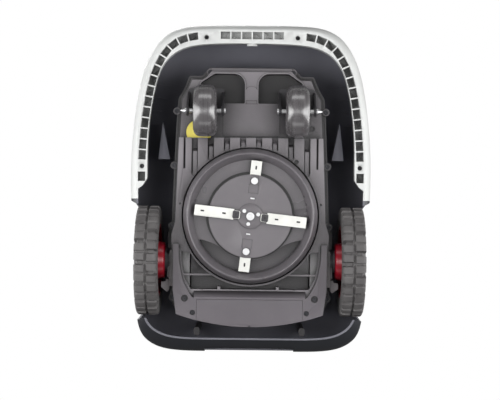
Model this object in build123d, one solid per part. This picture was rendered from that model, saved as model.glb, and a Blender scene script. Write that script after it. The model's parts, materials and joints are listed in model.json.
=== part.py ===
from build123d import *
import math
import os

# Robotic lawn mower. Millimetres, +Z up, the nose points to -Y, the ground is Z = 0.
# The origin is on the ground, midway between nose and tail and between the two sides.

# ---- Driving dimensions ---------------------------------------------------------------
HALF_WIDTH = 212.6          # hood, at its widest level
HALF_LENGTH = 289.0
SKIN = 3.0                  # moulded wall of the hood and covers
TOUCH = 0.4                 # clearance between pieces that pass each other closely

# Hood, right half of the plan outline at its widest level, nose centre to tail centre
HOOD_PLAN = [
    (0, -289), (45, -289), (92, -288), (130, -282.5), (157, -268), (176, -244), (190, -213), (200, -172),
    (209, -105), (212.6, -45), (211.5, 30), (208, 110), (204, 180), (199.5, 232), (189, 262), (166, 279.5),
    (130, 287.5), (85, 289), (40, 289), (0, 289),
]
# Hood levels: height, half width, front end, rear end
HOOD_LEVELS = [
    (62, 201.0, -277.5, 266.0), (74, 208.5, -285.0, 278.0), (92, 212.6, -289.0, 289.0),
    (122, 210.0, -287.0, 288.0), (152, 203.5, -270.0, 282.0), (182, 193.0, -236.0, 269.0),
    (208, 178.0, -192.0, 248.0), (228, 157.0, -142.0, 220.0), (242, 126.0, -88.0, 182.0),
    (249.5, 82.0, -28.0, 140.0), (252, 38.0, 20.0, 104.0),
]
RIM_Z = 62.0                # lowest edge of the hood
RIM_TOP = 82.0
RIM_TUCK = 11.6             # how far the outer wall tucks under at the rim
RIM_WALL = 3.0
POCKET_WIDTH = 13.0
POCKET_PITCH = 18.6
POCKET_RIB = 2.4
SURROUND_END = 20.0         # pointed tail of the light surround, in front of the wheels
SURROUND_LINE = [
    (-300, 50), (-300, 141), (-262, 150), (-200, 158), (-120, 160), (-60, 152), (-20, 132), (20, 92), (20, 50),
]
# Inner edge of the rim, from the nose round the corner, then out to the side before the wheels
LIP_CURVE = [
    (0, -254), (40, -253.8), (80, -252), (118, -245), (144, -229), (160, -206), (170, -172), (177, -130),
    (181, -90), (182, -50), (182, -15),
]
LIP_TAIL = [(182, -15), (190, -3), (203, 7), (240, 7), (240, 40)]
LIP_DEPTH = 254.0
SURROUND_SCREWS = [(80, -264), (191, -37)]

# Hatch in the hood and its flap
HATCH_HALF = 62.0
HATCH_FRONT = -80.0
HATCH_REAR = 78.0
HATCH_CORNER = 14.0
HINGE_Z = 242.0
STOP_Y = 128.0
STOP_R = 27.0
CONTACT_T = 2.2             # copper charging strips in the nose

# Drive wheels
WHEEL_Y = 129.0
WHEEL_R = 97.0
WHEEL_IN = 159.0
WHEEL_OUT = 199.6
TREAD_DEPTH = 7.0
LUGS = 16
RIM_R = 64.0
ARCH_R = 106.0
AXLE_R = 5.0
FIT = 0.06                  # radial running clearance of a shaft in its bore

# Castors
CASTOR_X = 80.5
SWIVEL_Y = -162.0
CASTOR_Y = -134.0
CASTOR_R = 45.0
CASTOR_HALF = 20.5
STEM_R = 6.0
PIN_R = 4.0
ARM_IN = 29.5
ARM_OUT = 32.5

# Cutting deck
DECK_Y = 49.0
DECK_R = 118.0
CREST_Z = 36.0
CEILING_Z = 58.0
RECESS_Z = 76.0
DISC_R = 73.0
DISC_Z = 46.0
DISC_T = 3.0
LONG_TIP = 97.8
SHORT_TIP = 97.4
BLADE_WIDTH = 18.8
BLADE_T = 1.6
MOTOR_TOP = 108.0
SPINDLE_FOOT = 126.0
LONG_PIVOT = 25.0
SHORT_PIVOT = 62.0
ROTOR_ANGLE = 6.3           # how far the rotor happens to be turned
HUB_R = 22.0
GUIDE_ANGLES = (0, 180, 270)
GUIDE_REACH = 80.0

# Chassis
TUB_PLAN = [
    (74.8, -215.6), (88.9, -200.5), (111.2, -200.5), (120.2, -178), (130.5, -160), (133.5, -119),
    (136.5, -49), (140.2, 59), (146.7, 82), (143.5, 179), (138.6, 205), (127.3, 226),
]
TAIL_Y = 246.3              # the tail edge bows back to here
PLATE_Z = 70.0              # underside of the ribbed plate
CASTOR_ZONE_Z = 98.0        # underside of the castor zone
RAISED = 1.2                # height of the panels that stand proud in the castor zone
PLATE_FRONT = -88.5
FLANGE_Z = 108.0
FLANGE_TOP = 113.0
FLANGE_LEDGE = 8.0
GASKET_TOP = 115.0
COVER_TOP = 170.0
COVER_STEP = 150.0
COVER_INSET = 2.2
STEP_WIDTH = 12.0
WELL_ROOF = 122.0
BORE_R = 121.0              # opening for the cutting deck
STRIPE_PITCH = 28.3
SLOT_WIDTH = 11.0
SLOT_DEEP = 7.5
SLOT_SHALLOW = 2.2          # over the tongue that rises inside each long slot
SLOT_ENDS = (-74.0, -68.0, -53.0, -26.0)
EDGE_SLOT_X = 117.0
GUTTER_REAR = 178.0
GUTTER_ROOF = 95.0
COVER_SCREWS = ((114, 194, 6.2), (100, 219, 4.7))
LID_HALF = 93.0
BAY_HALF = 93.0
BAY_FRONT = 184.0
BAY_REAR = 228.0
BAY_ROOF = 103.0
PANEL_Z = 208.0
PANEL_T = 4.0
FLANGE_BOSSES = [(74, -207), (133, -137), (137, -40), (140, 68), (138, 196), (58, 234)]
KEY_SPOTS = {
    "power": (-38, -22), "home": (-19, -22), "start": (0, -22), "up": (19, -22), "down": (38, -22),
}

os.makedirs("parts", exist_ok=True)


# ---- Small helpers ---------------------------------------------------------------------
def block(x0, x1, y0, y1, z0, z1):
    return Pos((x0 + x1) / 2, (y0 + y1) / 2, (z0 + z1) / 2) * Box(x1 - x0, y1 - y0, z1 - z0)


def soft_block(x0, x1, y0, y1, z0, z1, radius):
    face = RectangleRounded(x1 - x0, y1 - y0, radius)
    return extrude(Pos((x0 + x1) / 2, (y0 + y1) / 2, z0) * face, z1 - z0)


def post(x, y, z0, z1, radius):
    return Pos(x, y, (z0 + z1) / 2) * Cylinder(radius, z1 - z0)


def bar_x(x0, x1, y, z, radius):
    return Pos((x0 + x1) / 2, y, z) * Rot(0, 90, 0) * Cylinder(radius, x1 - x0)


def tube(x, y, z0, z1, outer, inner):
    return post(x, y, z0, z1, outer) - post(x, y, z0 - 1, z1 + 1, inner)


def prism(points, z0, z1):
    return extrude(Pos(0, 0, z0) * make_face(Polyline(*points, close=True)), z1 - z0)


def side_prism(points, x0, x1):
    """A profile of (y, z) points carried along X."""
    face = make_face(Polyline(*[(x0, y, z) for y, z in points], close=True))
    return extrude(face, x1 - x0, dir=(1, 0, 0))


def turned(points, x=0.0, y=0.0):
    """A profile of (radius, z) points turned about a vertical axis through x, y."""
    face = make_face(Polyline(*[(r, 0, z) for r, z in points], close=True))
    return Pos(x, y, 0) * revolve(face, Axis.Z)


def turned_x(points, y, z):
    """A profile of (x, radius) points turned about an axis along X through y, z."""
    face = make_face(Polyline(*[(x, 0, r) for x, r in points], close=True))
    return Pos(0, y, z) * revolve(face, Axis.X)


def both(shape):
    return shape + mirror(shape, about=Plane.YZ)


def solid_group(*shapes):
    return Compound(children=[s for shape in shapes for s in shape.solids()])


def halves(points):
    """Right-half points, joined with their mirror images into one closed loop."""
    left = [(-x, y) for x, y in reversed(points) if abs(x) > 1e-6]
    return list(points) + left


def polar(radius, degrees, x=0.0, y=0.0):
    angle = math.radians(degrees)
    return (x + radius * math.cos(angle), y + radius * math.sin(angle))


def save(shape, name):
    """Writes one node."""
    shape.label = name
    export_step(shape, os.path.join("parts", name + ".step"))


# ---- Hood ------------------------------------------------------------------------------
def hood_section(level, inset=0.0, drop=0.0):
    """The plan outline, scaled to one level and drawn in by inset."""
    z, half, front, rear = level
    scale_x = (half - inset) / HALF_WIDTH
    scale_y = (rear - front - 2 * inset) / (2 * HALF_LENGTH)
    middle = (front + rear) / 2
    points = [(x * scale_x, y * scale_y + middle, z - drop) for x, y in halves(HOOD_PLAN)]
    return make_face(Spline(*points, periodic=True))


def hood_solid():
    return loft([hood_section(level) for level in HOOD_LEVELS])


def hood_hollow():
    """The space under the hood. It runs out below the rim, and its top is one wall lower."""
    foot = (RIM_Z - 12,) + HOOD_LEVELS[0][1:]
    levels = [hood_section(foot, SKIN)]
    levels += [hood_section(level, SKIN, SKIN * i / (len(HOOD_LEVELS) - 1)) for i, level in enumerate(HOOD_LEVELS)]
    return loft(levels)


def wheel_arches():
    return both(bar_x(149, 240, WHEEL_Y, WHEEL_R, ARCH_R))


def surround_zone():
    return side_prism(SURROUND_LINE, -240, 240)


def rim_pockets():
    """Open cells between the tucked-in outer wall and the inner lip, divided by thin ribs."""
    inset = RIM_TUCK + RIM_WALL + POCKET_WIDTH / 2
    scale_x = (HALF_WIDTH - inset) / HALF_WIDTH
    scale_y = (HALF_LENGTH - inset) / HALF_LENGTH
    points = [(x * scale_x, y * scale_y) for x, y in HOOD_PLAN if y < 60]
    path = Spline(*points)
    count = round(path.length / POCKET_PITCH)
    cells = []
    for i in range(count):
        spot = path.position_at((i + 0.5) / count)
        near_pad = min(math.hypot(spot.X - x, spot.Y - y) for x, y in SURROUND_SCREWS) < 15
        if near_pad or spot.Y > -12:
            continue
        depth = 7 if spot.X < 68 else RIM_TOP - RIM_Z - 3
        corners = []
        for share, sign in ((i / count, 1), ((i + 1) / count, -1)):
            point = path.position_at(share)
            along = path.tangent_at(share)
            across = Vector(-along.Y, along.X) * (POCKET_WIDTH / 2)
            point = Vector(point.X, point.Y) + Vector(along.X, along.Y) * (sign * POCKET_RIB / 2)
            corners += [point - across * sign, point + across * sign]
        cells.append(prism([(c.X, c.Y) for c in corners], RIM_Z - 1, RIM_Z + depth))
    return both(Part() + cells)


def lip_face():
    """Everything inside the rim's inner edge, as one face."""
    curve = Spline(*LIP_CURVE, tangents=[(1, 0), (0, 1)])
    tail = Polyline(*LIP_TAIL, (0, LIP_TAIL[-1][1]))
    right = curve.edges() + tail.edges()
    return make_face(right + [mirror(edge, about=Plane.YZ).edge() for edge in right])


def hood_surround(outer, skin):
    """Light U-shaped lower panel round the nose and sides, with its ribbed rim."""
    panel = skin & surround_zone()
    slab = outer & block(-230, 230, -300, SURROUND_END, RIM_Z - 1, RIM_TOP)
    rim = slab - extrude(Pos(0, 0, RIM_Z - 2) * lip_face(), RIM_TOP + 4 - RIM_Z, dir=(0, 0, 1))
    part = panel + (rim - rim_pockets())
    holes = [both(post(x, y, RIM_Z - 2, RIM_Z + 12, 4)) for x, y in SURROUND_SCREWS]
    tab = block(-9, 9, -LIP_DEPTH - 2, 4 - LIP_DEPTH, RIM_Z + 1, RIM_Z + 9)
    return part - holes + tab


def hood_shell(outer, skin):
    """Dark upper shell, with its wheel arches, hatch, stop-button hole and tail vents."""
    part = skin - surround_zone() - wheel_arches()
    part -= soft_block(-HATCH_HALF, HATCH_HALF, HATCH_FRONT, HATCH_REAR, 215, 260, HATCH_CORNER)
    part -= block(-31, 31, HATCH_FRONT - 5, HATCH_FRONT + 20, 215, 260)
    part -= post(0, STOP_Y, 225, 260, STOP_R + 9)
    tail = block(-79, 79, 255, 300, 55, 112)
    vents = Part() + [block(x - 2.3, x + 2.3, 260, 292, 92, 104) for x in [7.4 * (i - 10) for i in range(21)]]
    wall = (part & tail) & block(-79, 79, 255, 282, 55, 112)
    wall += outer & block(-79, 79, 279.2, 282, 78, 112)
    return part - tail + (wall - vents)


def hinge_lugs():
    """Fixed barrels of the hatch hinge, at both sides of the flap's own barrel."""
    lug = bar_x(31.4, 46, HATCH_FRONT - 1, HINGE_Z, 3.4)
    lug += block(31.4, 46, HATCH_FRONT - 4.4, HATCH_FRONT - 1, HINGE_Z - 8, HINGE_Z)
    return both(lug)


# ---- Chassis ---------------------------------------------------------------------------
def tail_arc(x, y, middle):
    """Bowed edge from (x, y) through (0, middle) to the other side."""
    return ThreePointArc((x, y), (0, middle), (-x, y))


def tub_face(inset=0.0):
    """Plan of the chassis tub, with a gently bowed tail edge."""
    left = [(-x, y) for x, y in reversed(TUB_PLAN)]
    sides = FilletPolyline(*left, *TUB_PLAN, radius=5)
    face = make_face(sides.edges() + tail_arc(*TUB_PLAN[-1], TAIL_Y).edges())
    if inset:
        face = offset(face, -inset)
    return face


def tub_solid(inset, z0, z1):
    return extrude(Pos(0, 0, z0) * tub_face(inset), z1 - z0, dir=(0, 0, 1))


def well_face(grow=0.0):
    """Plan of the right-hand front well, which gives the castor room."""
    points = [(12, -151), (12, -204), (66, -204), (91, -187), (91, -151)]
    face = make_face(FilletPolyline(*points, radius=[2, 20, 6, 6, 2], close=True))
    return offset(face, grow) if grow else face


def rib_slots():
    """Dark slots between the stripes of the plate. A tongue rises inside each, beside a narrow groove."""
    half = SLOT_WIDTH / 2
    cut = []
    for i, end in enumerate(SLOT_ENDS):
        x = STRIPE_PITCH * (i + 0.5)
        middle = PLATE_FRONT + 0.3 * (end - PLATE_FRONT)
        profile = [(PLATE_FRONT - 2, PLATE_Z - 1), (end, PLATE_Z - 1), (end, PLATE_Z + SLOT_SHALLOW),
                   (middle + 5, PLATE_Z + SLOT_SHALLOW), (middle, PLATE_Z + SLOT_DEEP),
                   (PLATE_FRONT - 2, PLATE_Z + SLOT_DEEP)]
        cut.append(side_prism(profile, x - half, x + half))
        cut.append(post(x, end, PLATE_Z - 1, PLATE_Z + SLOT_SHALLOW, half))
        cut.append(block(x + half - 2.4, x + half, PLATE_FRONT - 2, end, PLATE_Z - 1, PLATE_Z + SLOT_DEEP))
        cut.append(block(x - half, x - half + 1.2, PLATE_FRONT - 2, end, PLATE_Z - 1, PLATE_Z + SLOT_DEEP))
    cut.append(block(EDGE_SLOT_X - 1.8, EDGE_SLOT_X + 1.8, PLATE_FRONT - 2, -34, PLATE_Z - 1, PLATE_Z + SLOT_DEEP))
    return both(Part() + cut)


def side_scoop(grow=0.0):
    """Plan of the shallow scoop beside the deck opening, next to the cover's arm."""
    points = [(121, 112), (119, 138), (116, 151), (60, 151), (84, 130), (110, 112)]
    face = make_face(Polyline(*points, close=True))
    return offset(face, grow, kind=Kind.INTERSECTION) if grow else face


def gutter(grow=0.0):
    """Plan of the deep gutter behind the deck opening."""
    right = [(116, 154), (112.5, 163), (104, GUTTER_REAR)]
    face = make_face(Polyline(*right, *[(-x, y) for x, y in reversed(right)], close=True))
    return offset(face, grow, kind=Kind.INTERSECTION) if grow else face


def gearbox_notch():
    return block(104, 170, 108, 176, 79, 125)


def chassis_tub():
    """Lower half of the body: ribbed plate, deck opening, castor wells, battery bay and flange."""
    floor_t = 9.0
    part = tub_solid(FLANGE_LEDGE, PLATE_Z, FLANGE_TOP)
    part -= block(-160, 160, -240, PLATE_FRONT, PLATE_Z - 5, CASTOR_ZONE_Z)
    part -= tub_solid(FLANGE_LEDGE + 3, PLATE_Z + floor_t, FLANGE_TOP + 1) - block(
        -160, 160, -240, PLATE_FRONT + 3, PLATE_Z - 5, CASTOR_ZONE_Z + 4)
    part += tub_solid(0, FLANGE_Z, FLANGE_TOP) - tub_solid(FLANGE_LEDGE, FLANGE_Z - 1, FLANGE_TOP + 1)
    part += post(0, DECK_Y, PLATE_Z, CASTOR_ZONE_Z + 3, BORE_R + 3)
    part -= post(0, DECK_Y, PLATE_Z - 5, CASTOR_ZONE_Z, BORE_R)
    part -= post(0, DECK_Y, PLATE_Z, CASTOR_ZONE_Z + 8, 42)
    part -= rib_slots()
    for angle in GUIDE_ANGLES:
        x, y = polar(GUIDE_REACH, angle, 0, DECK_Y)
        part += post(x, y, CASTOR_ZONE_Z, CASTOR_ZONE_Z + 14, 11)
        part -= post(x, y, CASTOR_ZONE_Z - 5, CASTOR_ZONE_Z + 15, 6 + FIT)
    wells = both(extrude(Pos(0, 0, CASTOR_ZONE_Z) * well_face(SKIN), WELL_ROOF + SKIN - CASTOR_ZONE_Z))
    rims = both(extrude(Pos(0, 0, CASTOR_ZONE_Z - RAISED) * well_face(2), RAISED))
    cavities = both(extrude(Pos(0, 0, CASTOR_ZONE_Z - 3) * well_face(), WELL_ROOF + 3 - CASTOR_ZONE_Z))
    part = part + wells + rims - cavities
    sockets = both(post(CASTOR_X, SWIVEL_Y, CASTOR_ZONE_Z - 1, WELL_ROOF + 6, 15))
    part = part + sockets - both(post(CASTOR_X, SWIVEL_Y, CASTOR_ZONE_Z - 2, WELL_ROOF + 8, 12))
    part += soft_block(-50, 50, -150, -93, CASTOR_ZONE_Z - RAISED, CASTOR_ZONE_Z, 4)
    part += soft_block(-10.5, 10.5, -181, -161, CASTOR_ZONE_Z - RAISED, CASTOR_ZONE_Z, 9)
    part += block(-10.5, 10.5, -170, -157, CASTOR_ZONE_Z - RAISED, CASTOR_ZONE_Z)
    part += block(-72, 72, -214, -206, FLANGE_Z - 5, FLANGE_TOP)
    part += block(-BAY_HALF - 4, BAY_HALF + 4, BAY_FRONT - 4, BAY_REAR + 1, PLATE_Z, BAY_ROOF + 3)
    part -= block(-BAY_HALF, BAY_HALF, BAY_FRONT, BAY_REAR - 2, PLATE_Z - 1, BAY_ROOF)
    for x, y in FLANGE_BOSSES:
        part += both(post(x, y, FLANGE_Z - 4, FLANGE_TOP, 6.5))
        part -= both(post(x, y, FLANGE_Z - 5, FLANGE_Z - 2, 4.5))
        part -= both(post(x, y, FLANGE_Z - 3, FLANGE_TOP + 1, 2.5))
    drum = post(0, DECK_Y, PLATE_Z - 5, CASTOR_ZONE_Z, BORE_R + 3)
    up = (0, 0, 1)
    boxes = both(extrude(Pos(0, 0, PLATE_Z) * side_scoop(SKIN), 17, dir=up))
    boxes += extrude(Pos(0, 0, PLATE_Z) * gutter(SKIN), GUTTER_ROOF + SKIN - PLATE_Z, dir=up)
    hollows = both(extrude(Pos(0, 0, PLATE_Z - 2) * side_scoop(), 16, dir=up))
    hollows += extrude(Pos(0, 0, PLATE_Z - 2) * gutter(), GUTTER_ROOF + 2 - PLATE_Z, dir=up)
    part = part + (boxes - drum) - (hollows - drum)
    for x in (-54, 49):
        part += block(x - 2.5, x + 2.5, GUTTER_REAR - 5, GUTTER_REAR + 1, PLATE_Z - 4, GUTTER_ROOF + 1)
    part += block(-82, 77, GUTTER_REAR, GUTTER_REAR + 2, PLATE_Z - 4, PLATE_Z)
    part -= both(gearbox_notch())
    part -= post(-93, -99, CASTOR_ZONE_Z - 2, CASTOR_ZONE_Z + 6, 12)
    part -= post(108, -107, CASTOR_ZONE_Z - 2, CASTOR_ZONE_Z + 3, 5)
    for x, y in [(-60, -51), (80, -47)]:
        part -= post(x, y, PLATE_Z - 1, PLATE_Z + 5, 4)
    part -= both(post(124, 28, PLATE_Z - 1, PLATE_Z + 5, 2))
    groove = tub_solid(2.6, FLANGE_Z - 1, FLANGE_Z + 1.4) - tub_solid(4.6, FLANGE_Z - 2, FLANGE_Z + 2)
    for x, y in FLANGE_BOSSES:
        groove -= both(post(x, y, FLANGE_Z - 5, FLANGE_Z + 3, 6.5))
    part -= groove
    for x, y, radius in COVER_SCREWS:
        part -= both(post(x, y, PLATE_Z - 1, PLATE_Z + 10, 2.5))
    return part


def chassis_gasket():
    ring = tub_solid(0.8, FLANGE_TOP, GASKET_TOP) - tub_solid(FLANGE_LEDGE - 2, FLANGE_TOP - 1, GASKET_TOP + 1)
    holes = [both(post(x, y, FLANGE_TOP - 1, GASKET_TOP + 1, 3)) for x, y in FLANGE_BOSSES]
    return solid_group(ring - holes - both(gearbox_notch()))


def chassis_cover():
    """Upper half of the body, a bowl in two tiers with a flat top."""
    part = tub_solid(0, GASKET_TOP, GASKET_TOP + 4)
    part += tub_solid(COVER_INSET, GASKET_TOP, COVER_STEP)
    part += tub_solid(COVER_INSET + STEP_WIDTH, GASKET_TOP, COVER_TOP)
    part -= tub_solid(COVER_INSET + SKIN, GASKET_TOP - 1, COVER_STEP - SKIN)
    part -= tub_solid(COVER_INSET + STEP_WIDTH + SKIN, GASKET_TOP - 1, COVER_TOP - SKIN)
    part -= both(block(104, 170, 108, 176, 110, 125))
    for x, y in FLANGE_BOSSES:
        part -= both(post(x, y, GASKET_TOP - 1, GASKET_TOP + 5, 2.5))
    return part - post(0, DECK_Y, COVER_TOP - 10, COVER_TOP + 2, 15)


def screw(x, y, z, head_r, shank_r, length):
    """A pan-head screw seen from below: the head hangs under z and the shank goes up."""
    head = post(x, y, z - 1.8, z, head_r)
    socket = post(x, y, z - 2, z - 0.9, head_r * 0.45)
    return head - socket + post(x, y, z, z + length, shank_r)


def chassis_screws():
    flange = [both(screw(x, y, FLANGE_Z - 2, 4.2, 2.4, 12)) for x, y in FLANGE_BOSSES]
    cover = [both(screw(x, y, PLATE_Z - 2, 3.8, 2.4, 8)) for x, y, radius in COVER_SCREWS]
    return solid_group(*flange, *cover)


def rear_cover():
    """Lower tail panel with two arms that run forward beside the cutting deck."""
    edge = [(125, 99), (135, 99), (135, 180), (129, 222)]
    inner = Spline((94.5, 195), (107, 183), (117, 163), (123, 136), (125, 106), tangents=[(1, -0.25), (0, -1)])
    outline = Polyline((125, 106), *edge).edges() + inner.edges()
    rear = tail_arc(129, 222, TAIL_Y - 2.5)
    whole = make_face(outline + rear.edges() + mirror(Curve() + outline, about=Plane.YZ).edges()
                      + Line((94.5, 195), (-94.5, 195)).edges())
    part = extrude(Pos(0, 0, PLATE_Z - 6) * whole, 6, dir=(0, 0, 1))
    part -= block(-LID_HALF - TOUCH, LID_HALF + TOUCH, 195.6, 260, PLATE_Z - 7, PLATE_Z + 1)
    part += side_prism([(181, PLATE_Z), (195.6, PLATE_Z), (195.6, PLATE_Z - 6), (192, PLATE_Z - 6)], -98, 98)
    for x, y, radius in COVER_SCREWS:
        part -= both(post(x, y, PLATE_Z - 7, PLATE_Z - 2, radius))
        part -= both(post(x, y, PLATE_Z - 7, PLATE_Z + 1, 2.6))
    return part


def battery_lid():
    """Wide smooth lid over the battery bay, whose rear edge follows the tail, with a thumb notch."""
    x, front = LID_HALF, 196.0
    y = TAIL_Y - 2.5 - (TAIL_Y - 2.5 - 222) * (x / 129) ** 2
    outline = Polyline((-x, y), (-x, front), (x, front), (x, y)).edges()
    face = make_face(outline + tail_arc(x, y, TAIL_Y - 2.5).edges())
    lid = extrude(Pos(0, 0, PLATE_Z - 6) * face, 4.5, dir=(0, 0, 1))
    return lid - post(0, TAIL_Y - 3, PLATE_Z - 7, PLATE_Z - 4, 2.2)


def battery_pack():
    """Five pairs of cells in a shrink sleeve, as one block with a scalloped side."""
    length = 2 * BAY_HALF - 4
    part = soft_block(-length / 2, length / 2, BAY_FRONT + 1, BAY_REAR - 3, PLATE_Z + 1, BAY_ROOF - 1, 8)
    return part


def circuit_board():
    board = block(-55, 55, -140, -60, 132, 133.6)
    chips = [block(x, x + 18, -120, -102, 133.6, 137) for x in (-45, -15, 20)]
    sockets = [block(x, x + 12, -74, -64, 133.6, 142) for x in (-48, -30, -12, 6, 24)]
    legs = [post(x, y, 126, 132, 4) for x in (-48, 48) for y in (-133, -67)]
    return board + chips + sockets + legs


def axle_nose():
    """Raised nose and guard wedge that stand outside the body, beside the wheel."""
    nose = prism([(136, 129), (146, 133), (146, 158), (142, 162), (142, 171), (136, 171)], 86, 108)
    wedge = prism([(142, 162), (148, 162), (149, 166), (157, 167), (157, 177), (146, 185), (142, 180)], 88, 104)
    return nose + wedge


def gearbox():
    """Right-hand wheel gearbox with its bracket and the bore for the axle."""
    case = block(106, 142, 110, 174, 80, 124) - post(0, DECK_Y, 70, 102, BORE_R + 3.5)
    part = case + axle_nose()
    part -= bar_x(116, 150, WHEEL_Y, WHEEL_R, AXLE_R + FIT)
    return part


def drive_motor():
    can = bar_x(52, 106, 146, 126, 17) & block(50, 110, 120, 170, 106, 150)
    return can + bar_x(46, 52, 146, 126, 6)


def axle_collars():
    ring = bar_x(146.5, 157, WHEEL_Y, WHEEL_R, 20) - bar_x(140, 160, WHEEL_Y, WHEEL_R, AXLE_R + 0.6)
    neck = bar_x(142, 146.5, WHEEL_Y, WHEEL_R, 15) - bar_x(140, 160, WHEEL_Y, WHEEL_R, AXLE_R + 0.6)
    return solid_group(both(ring + neck - axle_nose()))


def service_cap():
    """Round yellow cap over the battery switch, cut off square at the plate's edge."""
    cap = post(-93, -99, CASTOR_ZONE_Z - 3, CASTOR_ZONE_Z, 22.5) + post(-93, -99, CASTOR_ZONE_Z, CASTOR_ZONE_Z + 6, 12)
    grip = block(-96, -90, -116, -82, CASTOR_ZONE_Z - 5, CASTOR_ZONE_Z - 3)
    part = cap + grip
    return part & block(-130, -50, -130, PLATE_FRONT - 0.5, 80, 110)


def castor_bushings():
    return solid_group(both(tube(CASTOR_X, SWIVEL_Y, CASTOR_ZONE_Z - 1, WELL_ROOF + 6, 12, STEM_R + FIT)))


def hood_buffers():
    """Rubber cones between the body and the hood, which let the hood shift when it is bumped."""
    cones = []
    for y, top in ((-100, 212), (150, 220)):
        cones.append(turned([(0, COVER_TOP), (15, COVER_TOP), (13, COVER_TOP + 8), (7, COVER_TOP + 14),
                             (7, top - 10), (11, top), (0, top)], 84, y))
    return solid_group(*[both(c) for c in cones])


def control_housing():
    box = soft_block(-58, 58, -74, 76, COVER_TOP, PANEL_Z, 10)
    box -= soft_block(-55, 55, -71, 73, COVER_TOP - 1, PANEL_Z + 1, 7)
    return box


def control_panel():
    plate = soft_block(-58, 58, -74, 76, PANEL_Z, PANEL_Z + PANEL_T, 10)
    plate -= soft_block(-32, 32, -64, -38, PANEL_Z + 1.5, PANEL_Z + PANEL_T + 1, 3)
    for x, y in KEY_SPOTS.values():
        plate -= soft_block(x - 7, x + 7, y - 6, y + 6, PANEL_Z - 1, PANEL_Z + PANEL_T + 1, 3)
    return plate - post(0, DECK_Y, PANEL_Z - 1, PANEL_Z + PANEL_T + 1, 6)


def display_window():
    return soft_block(-31.8, 31.8, -63.8, -38.2, PANEL_Z + 1.5, PANEL_Z + PANEL_T, 2.8)


def key(x, y):
    cap = soft_block(x - 6.6, x + 6.6, y - 5.6, y + 5.6, PANEL_Z - 1, PANEL_Z + PANEL_T + 2, 2.6)
    return cap


def height_knob():
    body = turned([(5, PANEL_Z + PANEL_T + 1), (25, PANEL_Z + PANEL_T + 1), (24, PANEL_Z + PANEL_T + 9),
                   (22, PANEL_Z + PANEL_T + 11), (5, PANEL_Z + PANEL_T + 11)], 0, DECK_Y)
    grip = Pos(0, DECK_Y, 0) * block(-22, 22, -4.5, 4.5, PANEL_Z + PANEL_T + 11, PANEL_Z + PANEL_T + 19)
    for i in range(18):
        x, y = polar(25.5, i * 20, 0, DECK_Y)
        body -= post(x, y, PANEL_Z, PANEL_Z + 30, 2)
    return body + grip


def height_spindle():
    """Spindle that carries the cutting deck from the height knob."""
    return post(0, DECK_Y, SPINDLE_FOOT, PANEL_Z + PANEL_T + 11, 5)


# ---- Castors ---------------------------------------------------------------------------
def castor_fork():
    """Right-hand fork: swivel stem, crown and two thin arms."""
    top = CASTOR_ZONE_Z - 2
    crown = soft_block(CASTOR_X - ARM_OUT, CASTOR_X + ARM_OUT, -177, -139, top - 3.5, top, 6)
    crown += post(CASTOR_X, SWIVEL_Y, top - 3.5, top, 14)
    stem = post(CASTOR_X, SWIVEL_Y, top, WELL_ROOF + 10, STEM_R)
    stem += post(CASTOR_X, SWIVEL_Y, WELL_ROOF + 6.6, WELL_ROOF + 9, 9)
    profile = [(-172, top), (-141, top), (-125.2, 50), (-125, 43), (-131, 36), (-138, 36.4), (-143, 43), (-168, 84)]
    arms = side_prism(profile, CASTOR_X + ARM_IN, CASTOR_X + ARM_OUT)
    arms += side_prism(profile, CASTOR_X - ARM_OUT, CASTOR_X - ARM_IN)
    ring = bar_x(CASTOR_X + ARM_IN - 1.5, CASTOR_X + ARM_IN, CASTOR_Y, CASTOR_R, 8)
    ring += bar_x(CASTOR_X - ARM_IN, CASTOR_X - ARM_IN + 1.5, CASTOR_Y, CASTOR_R, 8)
    part = crown + stem + arms + ring
    return part - bar_x(CASTOR_X - 40, CASTOR_X + 40, CASTOR_Y, CASTOR_R, PIN_R)


def castor_tyre():
    """Barrel-shaped roller with rounded shoulders and a recess in each side."""
    half = CASTOR_HALF
    with BuildPart() as wheel:
        with BuildSketch(Plane.XZ):
            with BuildLine():
                Spline((-half, CASTOR_R - 13), (-half + 2.5, CASTOR_R - 5.2), (-half + 8, CASTOR_R - 1.1),
                       (0, CASTOR_R), (half - 8, CASTOR_R - 1.1), (half - 2.5, CASTOR_R - 5.2),
                       (half, CASTOR_R - 13))
                Polyline((half, CASTOR_R - 13), (half, 30), (half - 6, 28), (half - 6, 12), (half, 10.5),
                         (half, PIN_R + FIT), (-half, PIN_R + FIT), (-half, 10.5), (-half + 6, 12),
                         (-half + 6, 28), (-half, 30), (-half, CASTOR_R - 13))
            make_face()
        revolve(axis=Axis.X)
    return Pos(CASTOR_X, CASTOR_Y, CASTOR_R) * wheel.part


def castor_axle():
    """Steel pin with a flat head inboard and a cone-shaped retaining cap outboard."""
    points = [(CASTOR_X - ARM_OUT - 3.2, 0), (CASTOR_X - ARM_OUT - 3.2, 5.2), (CASTOR_X - ARM_OUT, 5.2),
              (CASTOR_X - ARM_OUT, PIN_R), (CASTOR_X + ARM_OUT, PIN_R), (CASTOR_X + ARM_OUT, 5.4),
              (CASTOR_X + ARM_OUT + 2.5, 5.4), (CASTOR_X + ARM_OUT + 10.5, 1.2), (CASTOR_X + ARM_OUT + 10.5, 0)]
    return turned_x(points, CASTOR_Y, CASTOR_R)


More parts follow.
